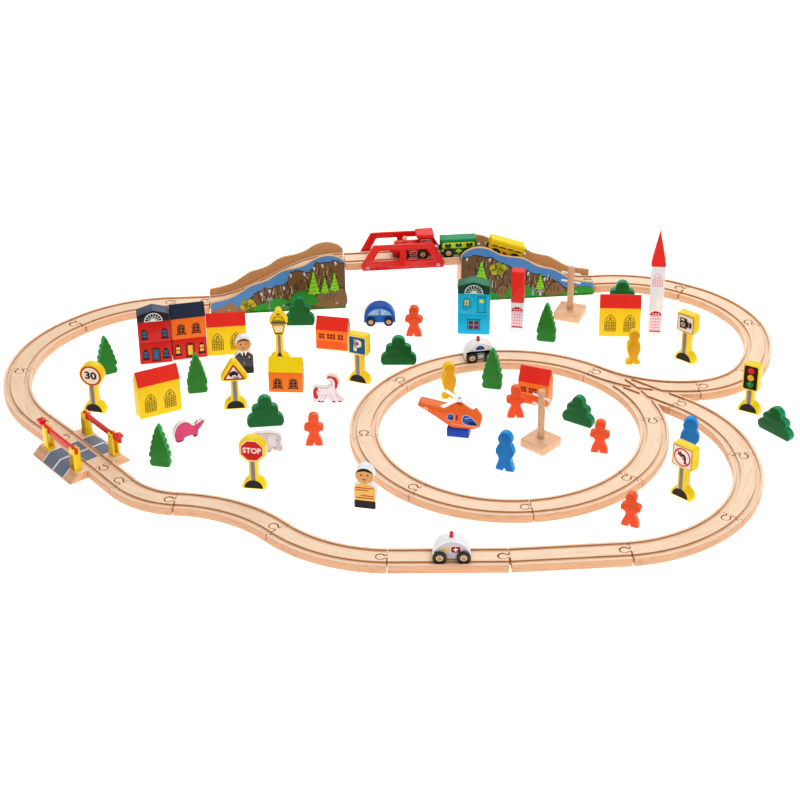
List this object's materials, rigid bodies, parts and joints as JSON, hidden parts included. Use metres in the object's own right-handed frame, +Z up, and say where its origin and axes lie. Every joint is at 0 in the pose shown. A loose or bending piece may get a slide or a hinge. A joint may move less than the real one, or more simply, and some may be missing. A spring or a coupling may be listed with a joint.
{
  "type": "wooden toy train set",
  "caption": "Wooden toy train layout: a track circle inside a larger loop with a mountain bridge, a level crossing, rolling train and cars, a helicopter and town pieces.",
  "frame": {"origin": "middle of the layout's footprint, on the floor", "axes": "+X to the right along the layout's long side, +Y away from the front straight towards the bridge, +Z up"},
  "size_m": [1.122, 0.7908, 0.174],
  "materials": {
    "beech_track": "sanded, clear matt lacquer",
    "bridge_plastic": "moulded, glossy",
    "mountain_board": "printed fibreboard",
    "gate_red": "moulded, glossy",
    "paint_red": "gloss paint on wood",
    "paint_green": "gloss paint on wood",
    "paint_yellow": "gloss paint on wood",
    "paint_blue": "gloss paint on wood",
    "paint_white": "gloss paint on wood",
    "paint_orange": "gloss paint on wood",
    "paint_black": "gloss paint on wood",
    "paint_grey": "satin paint on wood",
    "paint_brown": "satin paint on wood",
    "paint_pink": "satin paint on wood",
    "paint_cyan": "satin paint on wood",
    "wheel_black": "moulded",
    "tower_white": "painted wood",
    "house_red": "printed wood",
    "print": "printed wood",
    "bare_wood": "sanded",
    "steel": "nickel plated"
  },
  "bodies": {
    "root": {"switch_track": "beech_track", "circle_curve_1": "beech_track", "circle_curve_2": "beech_track", "circle_curve_3": "beech_track", "circle_curve_4": "beech_track", "circle_curve_5": "beech_track", "circle_curve_6": "beech_track", "circle_curve_7": "beech_track", "right_short_curve": "beech_track", "right_curve_1": "beech_track", "right_curve_2": "beech_track", "right_curve_3": "beech_track", "ramp_right": "beech_track", "bridge_deck": "beech_track", "ramp_left": "beech_track", "short_straight": "beech_track", "left_curve_1": "beech_track", "left_curve_2": "beech_track", "left_curve_3": "beech_track", "adaptor_left": "beech_track", "crossing_track": "beech_track", "adaptor_right": "beech_track", "front_short_curve": "beech_track", "s_curve_1": "beech_track", "s_curve_2": "beech_track", "straight_1": "beech_track", "straight_2": "beech_track", "corner_curve_1": "beech_track", "corner_curve_2": "beech_track", "corner_curve_3": "beech_track", "mountain_left_front": "mountain_board", "mountain_left_back": "mountain_board", "mountain_right_front": "mountain_board", "mountain_right_back": "mountain_board", "bridge_side_front": "bridge_plastic", "bridge_side_back": "bridge_plastic", "helicopter_body": "paint_orange", "spire_tower": "tower_white", "townhouse_red": "house_red"},
    "loco": {"loco_body": "paint_red"},
    "loco_front_wheels": {"loco_front_wheels": "wheel_black"},
    "loco_rear_wheels": {"loco_rear_wheels": "wheel_black"},
    "green_coach": {"green_coach_body": "paint_green"},
    "green_coach_front_wheels": {"green_coach_front_wheels": "wheel_black"},
    "green_coach_rear_wheels": {"green_coach_rear_wheels": "wheel_black"},
    "yellow_coach": {"yellow_coach_body": "paint_yellow"},
    "yellow_coach_front_wheels": {"yellow_coach_front_wheels": "wheel_black"},
    "yellow_coach_rear_wheels": {"yellow_coach_rear_wheels": "wheel_black"},
    "blue_car": {"blue_car_body": "paint_blue"},
    "blue_car_front_wheels": {"blue_car_front_wheels": "wheel_black"},
    "blue_car_rear_wheels": {"blue_car_rear_wheels": "wheel_black"},
    "police_car": {"police_car_body": "paint_white"},
    "police_car_front_wheels": {"police_car_front_wheels": "wheel_black"},
    "police_car_rear_wheels": {"police_car_rear_wheels": "wheel_black"},
    "ambulance": {"ambulance_body": "paint_white"},
    "ambulance_front_wheels": {"ambulance_front_wheels": "wheel_black"},
    "ambulance_rear_wheels": {"ambulance_rear_wheels": "wheel_black"},
    "gate_boom_1": {"gate_boom_1": "gate_red"},
    "gate_boom_2": {"gate_boom_2": "gate_red"},
    "helicopter_rotor": {"helicopter_rotor": "paint_white"}
  },
  "joints": [
    {"name": "train_run", "type": "slide", "parent": "root", "child": "loco", "axis": [-0.996, -0.0891, 0], "range_m": [0, 0.03]},
    {"name": "green_coach_run", "type": "slide", "parent": "root", "child": "green_coach", "axis": [-0.996, -0.0891, 0], "range_m": [-0.001, 0.031]},
    {"name": "yellow_coach_run", "type": "hinge", "parent": "root", "child": "yellow_coach", "pos_m": [0.12036, 0.35348, -0.07832], "axis": [0.0924, -0.9957, 0], "range_deg": [-0.5, 11.97]},
    {"name": "loco_front_axle", "type": "hinge", "parent": "loco", "child": "loco_front_wheels", "pos_m": [0.01827, 0.3443, 0.0794], "axis": [0.0891, -0.996, 0], "continuous": true},
    {"name": "loco_rear_axle", "type": "hinge", "parent": "loco", "child": "loco_rear_wheels", "pos_m": [0.04716, 0.34688, 0.0794], "axis": [0.0891, -0.996, 0], "continuous": true},
    {"name": "green_coach_front_axle", "type": "hinge", "parent": "green_coach", "child": "green_coach_front_wheels", "pos_m": [0.0865, 0.3504, 0.0794], "axis": [0.0891, -0.996, 0], "continuous": true},
    {"name": "green_coach_rear_axle", "type": "hinge", "parent": "green_coach", "child": "green_coach_rear_wheels", "pos_m": [0.11837, 0.35325, 0.0794], "axis": [0.0891, -0.996, 0], "continuous": true},
    {"name": "yellow_coach_front_axle", "type": "hinge", "parent": "yellow_coach", "child": "yellow_coach_front_wheels", "pos_m": [0.15795, 0.35696, 0.07517], "axis": [0.0924, -0.9957, 0], "continuous": true},
    {"name": "yellow_coach_rear_axle", "type": "hinge", "parent": "yellow_coach", "child": "yellow_coach_rear_wheels", "pos_m": [0.18796, 0.35975, 0.06443], "axis": [0.0924, -0.9957, 0], "continuous": true},
    {"name": "blue_car_run", "type": "slide", "parent": "root", "child": "blue_car", "axis": [1, 0, 0], "range_m": [-0.05, 0.05]},
    {"name": "blue_car_front_axle", "type": "hinge", "parent": "blue_car", "child": "blue_car_front_wheels", "pos_m": [-0.00515, 0.26486, 0.0079], "axis": [0, 1, 0], "continuous": true},
    {"name": "blue_car_rear_axle", "type": "hinge", "parent": "blue_car", "child": "blue_car_rear_wheels", "pos_m": [-0.03215, 0.26486, 0.0079], "axis": [0, 1, 0], "continuous": true},
    {"name": "ambulance_run", "type": "slide", "parent": "root", "child": "ambulance", "axis": [-1, 0.0091, 0], "range_m": [-0.04, 0.045]},
    {"name": "ambulance_front_axle", "type": "hinge", "parent": "ambulance", "child": "ambulance_front_wheels", "pos_m": [0.05761, -0.37463, 0.0184], "axis": [-0.0091, -1, 0], "continuous": true},
    {"name": "ambulance_rear_axle", "type": "hinge", "parent": "ambulance", "child": "ambulance_rear_wheels", "pos_m": [0.08761, -0.3749, 0.0184], "axis": [-0.0091, -1, 0], "continuous": true},
    {"name": "police_car_lap", "type": "hinge", "parent": "root", "child": "police_car", "pos_m": [0.16035, -0.06514, 0], "axis": [0, 0, 1], "continuous": true},
    {"name": "police_car_front_axle", "type": "hinge", "parent": "police_car", "child": "police_car_front_wheels", "pos_m": [0.11452, 0.12997, 0.0179], "axis": [0.165, -0.9863, 0], "continuous": true},
    {"name": "police_car_rear_axle", "type": "hinge", "parent": "police_car", "child": "police_car_rear_wheels", "pos_m": [0.14016, 0.13426, 0.0179], "axis": [0.165, -0.9863, 0], "continuous": true},
    {"name": "gate_1_lift", "type": "hinge", "parent": "root", "child": "gate_boom_1", "pos_m": [-0.4673, -0.10657, 0.0425], "axis": [-0.7838, -0.621, 0], "range_deg": [0, 75]},
    {"name": "gate_2_lift", "type": "hinge", "parent": "root", "child": "gate_boom_2", "pos_m": [-0.3768, -0.12418, 0.0425], "axis": [0.7838, 0.621, 0], "range_deg": [0, 75]},
    {"name": "rotor_spin", "type": "hinge", "parent": "root", "child": "helicopter_rotor", "pos_m": [0.09235, -0.06214, 0.055], "axis": [0, 0, 1], "continuous": true}
  ],
  "couplings": [
    {"joint": "green_coach_run", "follows": "train_run", "ratio": 1},
    {"joint": "yellow_coach_run", "follows": "train_run", "rad_per_m": 6.6756}
  ]
}
